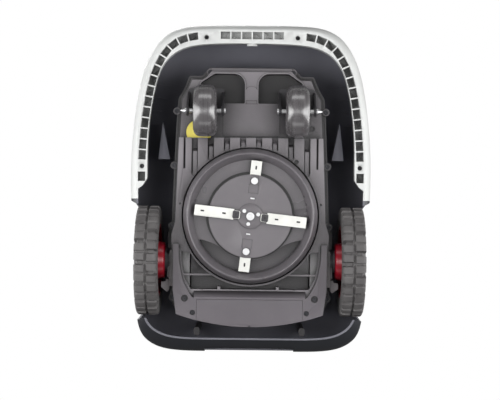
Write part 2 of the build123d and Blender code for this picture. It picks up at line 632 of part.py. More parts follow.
# ---- Drive wheels ----------------------------------------------------------------------
def drive_tyre():
    """Tyre with two staggered rows of deep lugs, each lug split by a shallow groove."""
    middle = (WHEEL_IN + WHEEL_OUT) / 2
    profile = [(WHEEL_IN, RIM_R), (WHEEL_IN, WHEEL_R - 6), (WHEEL_IN + 3, WHEEL_R - 1.5), (WHEEL_IN + 7, WHEEL_R),
               (WHEEL_OUT - 7, WHEEL_R), (WHEEL_OUT - 3, WHEEL_R - 1.5), (WHEEL_OUT, WHEEL_R - 6),
               (WHEEL_OUT, RIM_R)]
    tyre = turned_x(profile, 0, 0)
    deep = []
    step = 360 / LUGS
    for row, (x0, x1) in enumerate(((WHEEL_IN - 1, middle - 1), (middle + 1, WHEEL_OUT + 1))):
        for i in range(LUGS):
            angle = (i + row / 2) * step
            slot = block(x0, x1, -4, 4, WHEEL_R - TREAD_DEPTH, WHEEL_R + 3)
            notch = block(x0, x1, -1.8, 1.8, WHEEL_R - 3.2, WHEEL_R + 3)
            deep.append(Rot(angle, 0, 0) * slot)
            deep.append(Rot(angle + step / 2, 0, 0) * notch)
    ring = bar_x(middle - 1.6, middle + 1.6, 0, 0, WHEEL_R + 3) - bar_x(
        middle - 3, middle + 3, 0, 0, WHEEL_R - 4.5)
    tyre = tyre - deep - ring
    return Pos(0, WHEEL_Y, WHEEL_R) * tyre


def drive_rim():
    """Red wheel centre: barrel, dished web with six ribs, and the inboard boss round the axle collar."""
    barrel = turned_x([(WHEEL_IN + 1, RIM_R - 5), (WHEEL_IN + 1, RIM_R), (WHEEL_OUT - 1.6, RIM_R),
                       (WHEEL_OUT - 1.6, RIM_R - 5)], 0, 0)
    web = turned_x([(173, AXLE_R), (173, RIM_R - 3), (178, RIM_R - 3), (182, 34), (182, AXLE_R)], 0, 0)
    boss = turned_x([(150, 22.5), (150, 29), (152, 31.5), (160, 33), (174, 37), (174, 22.5)], 0, 0)
    hub = turned_x([(158.5, AXLE_R), (158.5, 14), (190, 14), (190, AXLE_R)], 0, 0)
    ribs = [Rot(i * 60, 0, 0) * block(177, 190, -2.5, 2.5, 12, RIM_R - 2) for i in range(6)]
    part = barrel + web + boss + hub + ribs
    return Pos(0, WHEEL_Y, WHEEL_R) * part


def drive_axle():
    return bar_x(118, 190, WHEEL_Y, WHEEL_R, AXLE_R) + bar_x(190, 194, WHEEL_Y, WHEEL_R, 9)


# ---- Cutting deck ----------------------------------------------------------------------
def recess_face(inset=0.0):
    """Plan of the deeper rear part of the deck's ceiling, bounded by an S-curve on each side."""
    reach = 101.0 - inset
    right = [(0, 74 + inset), (26, 69 + inset), (42, 60 + inset), (58, 49 + inset), (72, 43 + inset),
             (90 - inset, 39 + inset)]
    curve = Spline(*right)
    mirror_curve = mirror(curve, about=Plane.YZ)
    start = math.degrees(math.atan2(39 + inset, 90 - inset))
    x0, y0 = polar(reach, start)
    outer = ThreePointArc((x0, y0), (0, reach), (-x0, y0))
    edges = [curve, mirror_curve, Line(right[-1], (x0, y0)), Line((-right[-1][0], right[-1][1]), (-x0, y0)), outer]
    return make_face([e.edges()[0] for e in edges])


def cutting_deck():
    """Round pan with a V-shaped rim, drafted inner wall and a recessed rear ceiling."""
    top = RECESS_Z + 4
    profile = [(DECK_R, top), (DECK_R, 62), (112.8, 41), (111.6, 37.8), (110, CREST_Z), (108.4, 36.3), (107, 38),
               (98.5, CEILING_Z), (41, CEILING_Z), (41, CEILING_Z + 3), (101.5, CEILING_Z + 3), (108.6, 43),
               (110.5, 43), (114.8, 63), (114.8, top)]
    pan = turned(profile)
    pan += turned([(0, CEILING_Z), (42, CEILING_Z), (42, CEILING_Z + 3), (0, CEILING_Z + 3)])
    shelf = extrude(Pos(0, 0, CEILING_Z) * recess_face(), RECESS_Z + 3 - CEILING_Z)
    room = extrude(Pos(0, 0, CEILING_Z - 2) * recess_face(2.5), RECESS_Z + 2 - CEILING_Z)
    pan = pan + shelf - room
    for angle in GUIDE_ANGLES:
        x, y = polar(GUIDE_REACH, angle)
        pan += post(x, y, CEILING_Z + 1, RECESS_Z + 5, 11)
        pan -= post(x, y, RECESS_Z + 1, RECESS_Z + 6, 6)
    pan -= post(0, 0, CEILING_Z - 1, CEILING_Z + 5, 8)
    return Pos(0, DECK_Y, 0) * pan


def cutting_motor():
    can = turned([(4.5 + FIT, CEILING_Z + 3), (36, CEILING_Z + 3), (36, 64), (33, 66), (33, MOTOR_TOP - 4),
                  (30, MOTOR_TOP), (4.5 + FIT, MOTOR_TOP)], 0, DECK_Y)
    fins = [Pos(0, DECK_Y, 0) * Rot(0, 0, i * 30) * block(32, 36, -1.2, 1.2, 68, MOTOR_TOP - 8) for i in range(12)]
    return can + fins


def deck_guide_posts():
    posts = []
    for angle in GUIDE_ANGLES:
        x, y = polar(GUIDE_REACH, angle, 0, DECK_Y)
        posts.append(post(x, y, RECESS_Z + 1, 136, 6))
    return solid_group(*posts)


def lift_nut():
    """Bracket on the motor that rides on the height spindle."""
    collar = turned([(5 + FIT, 160), (12, 160), (12, 128), (28, 128), (28, 124), (5 + FIT, 124)], 0, DECK_Y)
    return collar + [post(*polar(24, a, 0, DECK_Y), MOTOR_TOP, 124, 3.5) for a in (0, 90, 180, 270)]


# ---- Rotor, built with its long blades along X and then turned ----------------------------
def on_rotor(shape):
    return Pos(0, DECK_Y, 0) * Rot(0, 0, ROTOR_ANGLE) * shape


def blade_disc():
    disc = turned([(4.5, DISC_Z), (DISC_R - 1, DISC_Z), (DISC_R, DISC_Z + 1), (DISC_R, DISC_Z + DISC_T),
                   (4.5, DISC_Z + DISC_T)])
    for side in (-1, 1):
        disc -= block(-9, 9, *sorted((side * 40, side * 56)), DISC_Z - 1, DISC_Z + 1.2)
        disc -= block(-7, 7, *sorted((side * (SHORT_PIVOT - 8), side * (SHORT_PIVOT + 9))), DISC_Z - 1, DISC_Z + 0.8)
        disc -= post(0, side * SHORT_PIVOT, DISC_Z - 1, DISC_Z + 5, 4)
        disc -= post(side * LONG_PIVOT, 0, DISC_Z - 1, DISC_Z + 5, 3)
    return on_rotor(disc)


def balance_tabs():
    return [on_rotor(block(-3.6, 3.6, *sorted((s * 30, s * 32.6)), DISC_Z - 1.2, DISC_Z)) for s in (-1, 1)]


def hub_cover():
    """Flanged hub with a raised centre that clamps the disc to the spindle."""
    hub = turned([(4.5, 43.4), (19.5, 43.4), (HUB_R, 44.6), (HUB_R, DISC_Z), (4.5, DISC_Z)])
    for angle in (-145, -20, 99):
        x, y = polar(14, angle)
        hub -= post(x, y, 42, DISC_Z + 1, 1.8)
    return on_rotor(hub)


def blade_holders():
    """Dark clips and pins that carry the pivots of the long blades."""
    parts = []
    for side in (-1, 1):
        x = side * LONG_PIVOT
        clip = soft_block(*sorted((side * 19.5, side * 31)), -6.5, 6.5, 38.6, 40.4, 2)
        sleeve = post(x, 0, 40.4, 43.4, 4.6)
        pin = post(x, 0, 37.8, 38.6, 3.6) + post(x, 0, 43.4, 48.8, 2.0)
        socket = post(x, 0, 37.5, 39.4, 1.8)
        parts.append(on_rotor(clip + sleeve + pin - socket))
    return solid_group(*parts)


def spindle_shaft():
    return post(0, DECK_Y, 41.5, 98, 4.5)


def rotor_screws():
    """Hub screws, centre bolt, short-blade bolts and balance tabs."""
    group = [on_rotor(post(*polar(14, a), 42.1, 43.4, 3.4) + post(*polar(14, a), 43.4, 45.9, 1.8))
             for a in (-145, -20, 99)]
    group.append(post(0, DECK_Y, 39.5, 41.5, 7) - post(0, DECK_Y, 39.2, 40.6, 3.4))
    for side in (-1, 1):
        group.append(on_rotor(post(0, side * SHORT_PIVOT, 43.4, DISC_Z + 0.8, 6)
                              + post(0, side * SHORT_PIVOT, DISC_Z + 0.8, 49.4, 4)
                              + post(0, side * SHORT_PIVOT, 49.4, 51.4, 3)
                              + post(0, side * SHORT_PIVOT, 51.4, 52.6, 6)))
    return solid_group(*group, *balance_tabs())


def long_blade(side):
    """Long under-disc blade, pivoting on the clip close to the hub."""
    z0 = 40.7
    half = BLADE_WIDTH / 2
    strip = soft_block(*sorted((side * 29, side * LONG_TIP)), -half, half, z0, z0 + BLADE_T, 0.8)
    eye = soft_block(*sorted((side * (LONG_PIVOT - 7), side * 30)), -7, 7, z0, z0 + BLADE_T, 3)
    strip += eye
    for r in (46, 84):
        strip -= soft_block(*sorted((side * (r - 3.2), side * (r + 3.2))), -1.4, 1.4, z0 - 1, z0 + 4, 1)
    strip -= post(side * LONG_PIVOT, 0, z0 - 1, z0 + 4, 4.6 + FIT)
    edge = block(*sorted((side * 34, side * 110)), half - 1.6, half + 1, z0 - 1, z0 + 0.7)
    return on_rotor(strip - edge - mirror(edge, about=Plane.XZ))


def short_blade(side):
    """Short blade on top of the disc, pivoting on its bolt near the disc's edge."""
    z0 = DISC_Z + DISC_T + 0.5
    half = BLADE_WIDTH / 2
    strip = soft_block(-half, half, *sorted((side * (SHORT_PIVOT - 9), side * SHORT_TIP)), z0, z0 + BLADE_T, 0.8)
    strip -= post(0, side * SHORT_PIVOT, z0 - 1, z0 + 4, 3 + FIT)
    strip -= soft_block(-1.4, 1.4, *sorted((side * 82, side * 88.5)), z0 - 1, z0 + 4, 1)
    return on_rotor(strip)


# ---- Hood fittings -----------------------------------------------------------------------
def control_flap(skin):
    """Hatch flap cut to the hood's own curve, with its hinge barrel along the front edge."""
    gap = 1.2
    flap = skin & soft_block(-HATCH_HALF + gap, HATCH_HALF - gap, HATCH_FRONT + gap, HATCH_REAR - gap, 215, 262,
                             HATCH_CORNER - gap)
    flap -= both(bar_x(30.8, 48, HATCH_FRONT - 1, HINGE_Z, 4.6))
    barrel = bar_x(-30.6, 30.6, HATCH_FRONT - 1, HINGE_Z, 3.4)
    web = block(-30.6, 30.6, HATCH_FRONT - 1, HATCH_FRONT + 4, HINGE_Z - 2.4, HINGE_Z)
    return flap + barrel + web - bar_x(-40, 40, HATCH_FRONT - 1, HINGE_Z, 1.5 + FIT)


def flap_pin():
    return bar_x(-46, 46, HATCH_FRONT - 1, HINGE_Z, 1.5)


def stop_collar():
    return turned([(STOP_R + TOUCH, 236), (STOP_R + 9, 236), (STOP_R + 9, 252), (STOP_R + 7, 254),
                   (STOP_R + TOUCH + 1, 254), (STOP_R + TOUCH, 253)], 0, STOP_Y)


def stop_button():
    return turned([(0, 238), (STOP_R - 4, 238), (STOP_R - 4, 244), (STOP_R, 244), (STOP_R, 256), (STOP_R - 3, 258.5),
                   (0, 259.5)], 0, STOP_Y)


def stop_plate():
    """Cross plate under the collar that holds the stop switch."""
    return turned([(0, 226), (STOP_R + 9, 226), (STOP_R + 9, 236), (STOP_R, 236), (STOP_R, 229), (0, 229)], 0, STOP_Y)


def hood_posts(hollow):
    """Rounded posts that hang from the hood behind the body and locate it."""
    shape = soft_block(88, 98.5, 247, 262, 92, 240, 5)
    return solid_group(both(shape) & hollow)


def hood_screws():
    return solid_group(*[both(screw(x, y, RIM_Z + 11, 3.4, 1.6, 5)) for x, y in SURROUND_SCREWS])


def contact_pockets(outer):
    """The room that the two charging strips take in the nose."""
    inner = Pos(0, CONTACT_T, 0) * outer
    right = block(18, 34, -300, -250, 104, 130) - inner
    left = block(-34, -18, -300, -250, 104, 130) - inner
    return [right, left]


def charging_contacts(outer):
    """Two copper strips set into the nose."""
    return solid_group(*[pocket & outer for pocket in contact_pockets(outer)])


def build():
    outer = hood_solid()
    hollow = hood_hollow()
    skin = outer - hollow
    contacts = charging_contacts(outer)
    bores = [both(post(x, y, RIM_Z + 8, RIM_Z + 18, 1.6)) for x, y in SURROUND_SCREWS]
    surround = hood_surround(outer, skin) - bores
    for pocket in contact_pockets(outer):
        surround -= pocket
    shell = hood_shell(outer, skin) + hinge_lugs() - flap_pin()
    nodes = {
        "chassis_tub": chassis_tub(),
        "chassis_gasket": chassis_gasket(),
        "chassis_cover": chassis_cover(),
        "chassis_screws": chassis_screws(),
        "rear_cover": rear_cover(),
        "battery_lid": battery_lid(),
        "battery_pack": battery_pack(),
        "circuit_board": circuit_board(),
        "axle_collars": axle_collars(),
        "service_cap": service_cap(),
        "castor_bushings": castor_bushings(),
        "hood_buffers": hood_buffers(),
        "control_housing": control_housing(),
        "control_panel": control_panel(),
        "display_window": display_window(),
        "height_knob": height_knob(),
        "height_spindle": height_spindle(),
        "hood_shell": shell,
        "hood_surround": surround,
        "hood_screws": hood_screws(),
        "hood_posts": hood_posts(hollow),
        "charging_contacts": contacts,
        "control_flap": control_flap(skin),
        "flap_pin": flap_pin(),
        "stop_collar": stop_collar() + stop_plate(),
        "stop_button": stop_button(),
        "cutting_deck": cutting_deck(),
        "cutting_motor": cutting_motor(),
        "deck_guide_posts": deck_guide_posts(),
        "lift_nut": lift_nut(),
        "blade_disc": blade_disc(),
        "hub_cover": hub_cover(),
        "blade_holders": blade_holders(),
        "spindle_shaft": spindle_shaft(),
        "rotor_screws": rotor_screws(),
    }
    for name, (x, y) in KEY_SPOTS.items():
        nodes["key_" + name] = key(x, y)
    for number, side in ((1, 1), (2, -1)):
        nodes["long_blade_%d" % number] = long_blade(side)
        nodes["short_blade_%d" % number] = short_blade(side)
    pairs = {
        "castor_fork": castor_fork(), "castor_tyre": castor_tyre(), "castor_axle": castor_axle(),
        "drive_tyre": drive_tyre(), "drive_rim": drive_rim(), "drive_axle": drive_axle(),
        "gearbox": gearbox(), "drive_motor": drive_motor(),
    }
    for name, shape in pairs.items():
        nodes[name + "_right"] = shape
        nodes[name + "_left"] = mirror(shape, about=Plane.YZ)
    for name, shape in nodes.items():
        save(shape, name)


build()
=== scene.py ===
import bpy
import bmesh
import json
import math
import numpy as np
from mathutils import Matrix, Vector
from mathutils.bvhtree import BVHTree


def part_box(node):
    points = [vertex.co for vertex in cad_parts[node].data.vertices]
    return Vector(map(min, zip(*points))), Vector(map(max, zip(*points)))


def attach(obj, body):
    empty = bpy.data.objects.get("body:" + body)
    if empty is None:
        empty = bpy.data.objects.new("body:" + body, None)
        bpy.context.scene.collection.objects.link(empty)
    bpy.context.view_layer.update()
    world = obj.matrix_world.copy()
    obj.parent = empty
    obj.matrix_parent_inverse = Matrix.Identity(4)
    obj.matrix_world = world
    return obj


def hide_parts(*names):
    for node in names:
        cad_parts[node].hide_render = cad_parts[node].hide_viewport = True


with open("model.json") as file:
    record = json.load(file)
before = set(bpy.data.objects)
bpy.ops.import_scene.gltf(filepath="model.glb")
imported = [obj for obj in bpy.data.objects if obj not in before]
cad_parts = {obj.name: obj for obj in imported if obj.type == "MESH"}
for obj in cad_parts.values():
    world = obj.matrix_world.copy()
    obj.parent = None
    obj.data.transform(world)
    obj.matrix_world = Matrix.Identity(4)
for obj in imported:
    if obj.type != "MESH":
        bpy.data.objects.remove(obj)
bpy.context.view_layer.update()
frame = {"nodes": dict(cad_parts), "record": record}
MM = 0.001

# ---- Camera: below the mower, looking straight up at its underside ----------------------------
CAMERA_AT = (-0.0009, 0.0206, -2.2)
CAMERA_LENS = 92.9
CAMERA_ROLL = math.radians(-0.62)
SENSOR_WIDTH = 36.0
CLIP_RANGE = (0.05, 30.0)


def make_camera():
    data = bpy.data.cameras.new("camera")
    data.lens = CAMERA_LENS
    data.sensor_width = SENSOR_WIDTH
    data.clip_start, data.clip_end = CLIP_RANGE
    obj = bpy.data.objects.new("camera", data)
    bpy.context.scene.collection.objects.link(obj)
    obj.location = CAMERA_AT
    obj.rotation_euler = (math.pi, 0.0, CAMERA_ROLL)
    bpy.context.scene.camera = obj


# ---- Shader expressions -----------------------------------------------------------------------
class Value:
    """A node socket that takes part in Python arithmetic by adding Math nodes."""

    def __init__(self, finish, socket):
        self.finish = finish
        self.socket = socket

    def _math(self, operation, first, second):
        return self.finish.node("ShaderNodeMath", {"operation": operation}, {0: first, 1: second})

    def __add__(self, other):
        return self._math("ADD", self, other)

    def __radd__(self, other):
        return self._math("ADD", other, self)

    def __mul__(self, other):
        return self._math("MULTIPLY", self, other)

    def __rmul__(self, other):
        return self._math("MULTIPLY", other, self)


class Finish:
    """One material: its node tree, its shader and a method that adds any node."""

    def __init__(self, name):
        self.material = bpy.data.materials.new(name)
        self.material.use_nodes = True
        self.tree = self.material.node_tree
        self.tree.nodes.clear()
        self.output = self.tree.nodes.new("ShaderNodeOutputMaterial")
        self.shader = self.tree.nodes.new("ShaderNodeBsdfPrincipled")
        self.tree.links.new(self.shader.outputs[0], self.output.inputs[0])

    def node(self, kind, settings=None, inputs=None, out=0):
        node = self.tree.nodes.new(kind)
        for key, value in (settings or {}).items():
            setattr(node, key, value)
        for key, value in (inputs or {}).items():
            self.feed(node.inputs[key], value)
        return Value(self, node.outputs[out])

    def feed(self, socket, value):
        if isinstance(value, Value):
            self.tree.links.new(value.socket, socket)
        else:
            socket.default_value = value

    def set(self, **inputs):
        """Sets sockets of the shader: Base_Color=..., Roughness=..."""
        for key, value in inputs.items():
            self.feed(self.shader.inputs[key.replace("_", " ")], value)
        return self

    def place(self):
        """Object coordinates, in metres."""
        return self.node("ShaderNodeTexCoord", out=3)

    def height(self):
        """Height above the ground, in metres."""
        return self.node("ShaderNodeSeparateXYZ", {}, {0: self.place()}, out=2)

    def noise(self, scale, detail, rough, place):
        inputs = {"Vector": place, "Scale": scale, "Detail": detail, "Roughness": rough}
        return self.node("ShaderNodeTexNoise", {}, inputs)

    def stretched(self, place, scale):
        """Coordinates scaled along each axis, which draws a pattern out into lines."""
        return self.node("ShaderNodeMapping", {}, {"Vector": place, "Scale": scale})

    def spread(self, value, low, high):
        """0 at low and 1 at high, straight between them and level beyond."""
        return self.node("ShaderNodeMapRange", {}, {0: value, 1: low, 2: high, 3: 0.0, 4: 1.0})

    def blend(self, factor, first, second):
        """Mix of two colours."""
        inputs = {0: factor, 6: first, 7: second}
        return self.node("ShaderNodeMix", {"data_type": "RGBA"}, inputs, out=2)

    def bump(self, height, strength, distance):
        return self.node("ShaderNodeBump", {}, {"Strength": strength, "Distance": distance, "Height": height})


def shade(colour, factor):
    return (colour[0] * factor, colour[1] * factor, colour[2] * factor, 1.0)


FLOW_MARKS = (14.0, 3.0, 0.6)
SPECKS = (60.0, 6.0, 0.75)
SMUDGES = (45.0, 3.0, 0.6)
BLOOM = (22.0, 5.0, 0.65)
WEAR_PATCHES = (26.0, 4.0, 0.6)
DUST_COLOUR = (0.42, 0.40, 0.36, 1.0)
BLOOM_COLOUR = (0.20, 0.195, 0.19, 1.0)
WORN_COLOUR = (0.20, 0.19, 0.19, 1.0)
CREVICE_SAMPLES = 6
HOOD_MIDDLE_HEIGHT = 0.04
FINE_SKIN = 1300.0
ROLLER_LINES = (420.0, 5.0, 5.0)
DRAWN_LENGTHWAYS = (40.0, 900.0, 900.0)
UNBRUSHED = (1.0, 1.0, 1.0)


def painted_crevice_shade(f, tone, reach, dark, low=0.35, high=0.95):
    """Painted shade, darker where walls stand close together: by how much of the space within reach metres is
    open.
    """
    settings = {"samples": CREVICE_SAMPLES}
    open_space = f.node("ShaderNodeAmbientOcclusion", settings, {"Distance": reach}, out=1)
    return f.blend(f.spread(open_space, low, high), dark, tone)


def moulded(name, colour, rough, grain=900.0, depth=0.00012, dust=0.0, coat=0.0, shadow=None, deep=None):
    """Moulded plastic: fine spark-eroded grain, faint flow marks in tone and gloss, and a little dust.
    shadow is (reach, dark) of painted shade in its crevices, and may add the open shares where they begin and
    end.
    deep is (from height, to height, dark) of painted shade on a deep wall that darkens upwards."""
    f = Finish(name)
    place = f.place()
    flow = f.spread(f.noise(*FLOW_MARKS, place), 0.3, 0.7)
    fine = f.noise(grain, 2.0, 0.6, place)
    tone = f.blend(flow, shade(colour, 0.94), shade(colour, 1.06))
    if dust:
        specks = f.spread(f.noise(*SPECKS, place), 0.55, 0.8)
        tone = f.blend(specks * dust, tone, DUST_COLOUR)
    # Painted shade that darkens a deep wall upwards between the two heights.
    if deep:
        bottom, top, dark = deep
        tone = f.blend(f.spread(f.height(), bottom, top), tone, shade(colour, dark))
    # Painted shade in the crevices.
    if shadow:
        reach, dark = shadow[:2]
        tone = painted_crevice_shade(f, tone, reach, shade(colour, dark), *shadow[2:])
    f.set(Base_Color=tone, Roughness=flow * 0.08 + (rough - 0.04), Coat_Weight=coat, Coat_Roughness=0.15)
    f.set(Normal=f.bump(fine, 0.35, depth))
    return f.material


def hood_plastic(name, outside, inside):
    """Satin outside, and rougher and paler inside, where the paler tone is painted light on the inner walls:
    a face is inside where its normal points towards the hood's middle, that is where the dot product of
    normal and place, taken from the middle, is below nought."""
    f = Finish(name)
    place = f.place()
    normal = f.node("ShaderNodeNewGeometry", out=1)
    mapping = {"Vector": place, "Location": (0.0, 0.0, HOOD_MIDDLE_HEIGHT), "Scale": (1, 1, 1)}
    from_middle = f.node("ShaderNodeMapping", {}, mapping)
    outward = f.node("ShaderNodeVectorMath", {"operation": "DOT_PRODUCT"}, {0: normal, 1: from_middle}, out=1)
    # Inside faces: a paler tone, which is painted light, and a rougher finish.
    inner_side = f.spread(outward, 0.005, -0.005)
    flow = f.spread(f.noise(*FLOW_MARKS, place), 0.3, 0.7)
    outer_tone = f.blend(flow, shade(outside, 0.92), shade(outside, 1.08))
    inner_painted_light_tone = f.blend(flow, shade(inside, 0.92), shade(inside, 1.08))
    f.set(Base_Color=f.blend(inner_side, outer_tone, inner_painted_light_tone), Roughness=inner_side * 0.2 + flow * 0.06 + 0.34)
    f.set(Normal=f.bump(f.noise(FINE_SKIN, 2.0, 0.6, place), 0.3, 0.00006))
    return f.material


def metal(name, colour, rough, brush=UNBRUSHED, marks=0.3):
    """Metal with fine drawn lines along one direction and small smudges."""
    f = Finish(name)
    place = f.place()
    lines = f.noise(1.0, 2.0, 0.6, f.stretched(place, brush))
    smudge = f.spread(f.noise(*SMUDGES, place), 0.35, 0.7)
    tone = f.blend(smudge * marks, shade(colour, 1.0), shade(colour, 0.72))
    f.set(Base_Color=tone, Metallic=1.0, Roughness=lines * 0.12 + smudge * 0.1 + rough)
    f.set(Normal=f.bump(lines, 0.15, 0.00005))
    return f.material


def rubber(name, colour, rough, dust):
    """Rubber with a dull bloom, scuffs and a fine moulded skin."""
    f = Finish(name)
    place = f.place()
    bloom = f.spread(f.noise(*BLOOM, place), 0.35, 0.7)
    tone = f.blend(bloom * dust, shade(colour, 1.0), BLOOM_COLOUR)
    f.set(Base_Color=tone, Roughness=bloom * 0.15 + rough)
    f.set(Normal=f.bump(f.noise(FINE_SKIN, 2.0, 0.7, place), 0.3, 0.00015))
    return f.material


def roller_rubber(name, colour):
    """Hard polished roller: dark, with fine wear lines round it and a strong gloss."""
    f = Finish(name)
    place = f.place()
    lines = f.noise(1.0, 3.0, 0.6, f.stretched(place, ROLLER_LINES))
    patches = f.spread(f.noise(*WEAR_PATCHES, place), 0.35, 0.7)
    lined = f.blend(f.spread(lines, 0.35, 0.68), shade(colour, 0.7), shade(colour, 1.45))
    f.set(Base_Color=f.blend(patches * 0.2, lined, WORN_COLOUR), Roughness=patches * 0.08 + 0.24)
    f.set(IOR=1.85, Coat_Weight=1.0, Coat_Roughness=0.16)
    f.set(Normal=f.bump(lines, 0.12, 0.0001))
    return f.material


# A finish given shadow has painted shade in its crevices; one given deep has painted shade up its deep walls.
FINISHES = {
    "surround_grey": moulded("surround_grey", (0.60, 0.61, 0.60), 0.45, grain=1100.0, depth=0.00008,
                             shadow=(0.014, 0.13)),
    # The hood's paler inside tone is painted light on its inner walls.
    "hood_black": hood_plastic("hood_black", outside=(0.020, 0.021, 0.025), inside=(0.130, 0.130, 0.152)),
    "chassis_grey": moulded("chassis_grey", (0.205, 0.190, 0.204), 0.38, grain=1000.0, dust=0.04,
                            shadow=(0.045, 0.10, 0.45, 0.96), deep=(0.1005, 0.110, 0.10)),
    "deck_grey": moulded("deck_grey", (0.138, 0.128, 0.138), 0.30, grain=1000.0, dust=0.04,
                         shadow=(0.03, 0.32, 0.35, 0.8)),
    "disc_grey": moulded("disc_grey", (0.135, 0.125, 0.135), 0.36, grain=1000.0, dust=0.04,
                         shadow=(0.010, 0.4)),
    "cover_grey": moulded("cover_grey", (0.115, 0.104, 0.116), 0.40, grain=1000.0, dust=0.04,
                          shadow=(0.03, 0.25), deep=(0.0642, 0.0690, 0.14)),
    "black_plastic": moulded("black_plastic", (0.040, 0.038, 0.042), 0.40, grain=1000.0, depth=0.00010),
    "gasket_rubber": rubber("gasket_rubber", (0.03, 0.03, 0.03), 0.6, 0.05),
    "tyre_rubber": rubber("tyre_rubber", (0.078, 0.073, 0.074), 0.55, 0.35),
    "castor_rubber": roller_rubber("castor_rubber", (0.070, 0.065, 0.069)),
    "red_plastic": moulded("red_plastic", (0.38, 0.005, 0.020), 0.30, grain=1300.0, depth=0.00005,
                           coat=0.2, shadow=(0.03, 0.25)),
    "yellow_plastic": moulded("yellow_plastic", (0.86, 0.74, 0.12), 0.32, grain=1300.0, depth=0.00005),
    "steel": metal("steel", (0.72, 0.72, 0.73), 0.22, brush=DRAWN_LENGTHWAYS),
    "blade_steel": metal("blade_steel", (0.74, 0.74, 0.71), 0.46, brush=DRAWN_LENGTHWAYS, marks=0.25),
    "screw_black": metal("screw_black", (0.06, 0.06, 0.065), 0.35),
    "zinc": metal("zinc", (0.72, 0.72, 0.73), 0.30),
    "copper": metal("copper", (0.80, 0.42, 0.22), 0.25, brush=DRAWN_LENGTHWAYS),
    "board_green": moulded("board_green", (0.02, 0.16, 0.07), 0.3),
    "battery_blue": moulded("battery_blue", (0.03, 0.08, 0.30), 0.3),
    "motor_metal": metal("motor_metal", (0.55, 0.55, 0.56), 0.35),
    "gear_grey": moulded("gear_grey", (0.30, 0.292, 0.30), 0.42, shadow=(0.02, 0.3)),
    "key_grey": rubber("key_grey", (0.25, 0.26, 0.27), 0.5, 0.05),
    "display_glass": moulded("display_glass", (0.02, 0.035, 0.035), 0.08, grain=1300.0, depth=0.00001,
                             coat=0.8),
}

# Nodes whose finish differs from the one of their slot.
NODE_FINISH = {
    "cutting_deck": "deck_grey",
    "blade_disc": "disc_grey",
    "hub_cover": "disc_grey",
    "rear_cover": "cover_grey",
    "battery_lid": "cover_grey",
    "hood_posts": "cover_grey",
    "hood_screws": "screw_black",
}


# ---- The frame's own shapes, finished ----------------------------------------------------------
def node_body(name):
    for body, members in frame["record"]["behaviour"]["bodies"].items():
        if name in members:
            return body
    return None


def node_slot(name):
    return next(s["material_slot"] for s in frame["record"]["subparts"] if s["node"] == name)


MERGE_DISTANCE = 2e-6
FLAT_WITHIN = math.radians(0.5)
SHARP_FROM = math.radians(28.0)
BEVEL_SEGMENTS = 2

# Width of the rounded edges in millimetres. Close-fitting and smoothly curved shapes get none.
USUAL_BEVEL = 0.4
BEVELS = {
    "height_spindle": 0.0,
    "lift_nut": 0.0,
    "hood_surround": 0.0,
    "hood_shell": 0.0,
    "control_flap": 0.0,
    "castor_tyre_left": 0.8,
    "castor_tyre_right": 0.8,
    "chassis_tub": 1.0,
    "long_blade_1": 0.15,
    "long_blade_2": 0.15,
    "short_blade_1": 0.15,
    "short_blade_2": 0.15,
    "rotor_screws": 0.3,
    "chassis_screws": 0.3,
}


def finished(name, bevel):
    """A copy of a node with its triangles joined, flat faces made whole and its edges rounded."""
    data = frame["nodes"][name].data.copy()
    shape = bmesh.new()
    shape.from_mesh(data)
    bmesh.ops.remove_doubles(shape, verts=shape.verts, dist=MERGE_DISTANCE)
    if bevel:
        bmesh.ops.dissolve_limit(shape, angle_limit=FLAT_WITHIN, verts=shape.verts, edges=shape.edges)
    for face in shape.faces:
        face.smooth = True
    shape.to_mesh(data)
    shape.free()
    obj = bpy.data.objects.new(name + "_finished", data)
    bpy.context.scene.collection.objects.link(obj)
    data.materials.clear()
    data.materials.append(FINISHES[NODE_FINISH.get(name, node_slot(name))])
    if bevel:
        rounding = obj.modifiers.new("rounding", "BEVEL")
        rounding.width = bevel * MM
        rounding.segments = BEVEL_SEGMENTS
        rounding.limit_method = "ANGLE"
        rounding.angle_limit = SHARP_FROM
        rounding.harden_normals = True
        rounding.miter_outer = "MITER_ARC"
    data.set_sharp_from_angle(angle=SHARP_FROM)
    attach(obj, node_body(name))
    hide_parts(name)


# Nodes that a piece worked out on a grid takes the place of.
MADE_ANEW = {"drive_tyre_left", "drive_tyre_right"}


def finish_all_nodes():
    for name in sorted(frame["nodes"]):
        if name not in MADE_ANEW:
            finished(name, BEVELS.get(name, USUAL_BEVEL))


# ---- Surfaces worked out on a grid --------------------------------------------------------------
def grid_faces(rows, columns, close_rows, close_columns):
    """Quads of a grid of points, wrapped round along either direction."""
    starts = np.arange(rows - (not close_rows)), np.arange(columns - (not close_columns))
    i, j = (part.ravel() for part in np.meshgrid(*starts, indexing="ij"))
    k, m = (i + 1) % rows, (j + 1) % columns
    return np.stack([i * columns + j, k * columns + j, k * columns + m, i * columns + m], axis=1)


def capped_faces(rows, columns):
    """Quads of a tube of rows, each a closed loop of columns points, with a flat face over either end."""
    last = (rows - 1) * columns
    ends = [list(range(columns))[::-1], [last + k for k in range(columns)]]
    return grid_faces(rows, columns, False, True).tolist() + ends


def new_piece(name, points, faces, slot, body, sharp=40.0):
    """A mesh piece from an array of points and a list of faces, in metres, with its finish and its body."""
    data = bpy.data.meshes.new(name)
    data.from_pydata(np.asarray(points).reshape(-1, 3).tolist(), [], [list(f) for f in faces])
    shape = bmesh.new()
    shape.from_mesh(data)
    bmesh.ops.recalc_face_normals(shape, faces=shape.faces)
    for face in shape.faces:
        face.smooth = True
    shape.to_mesh(data)
    shape.free()
    data.set_sharp_from_angle(angle=math.radians(sharp))
    data.materials.append(FINISHES[slot])
    obj = bpy.data.objects.new(name, data)
    bpy.context.scene.collection.objects.link(obj)
    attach(obj, body)
    return obj


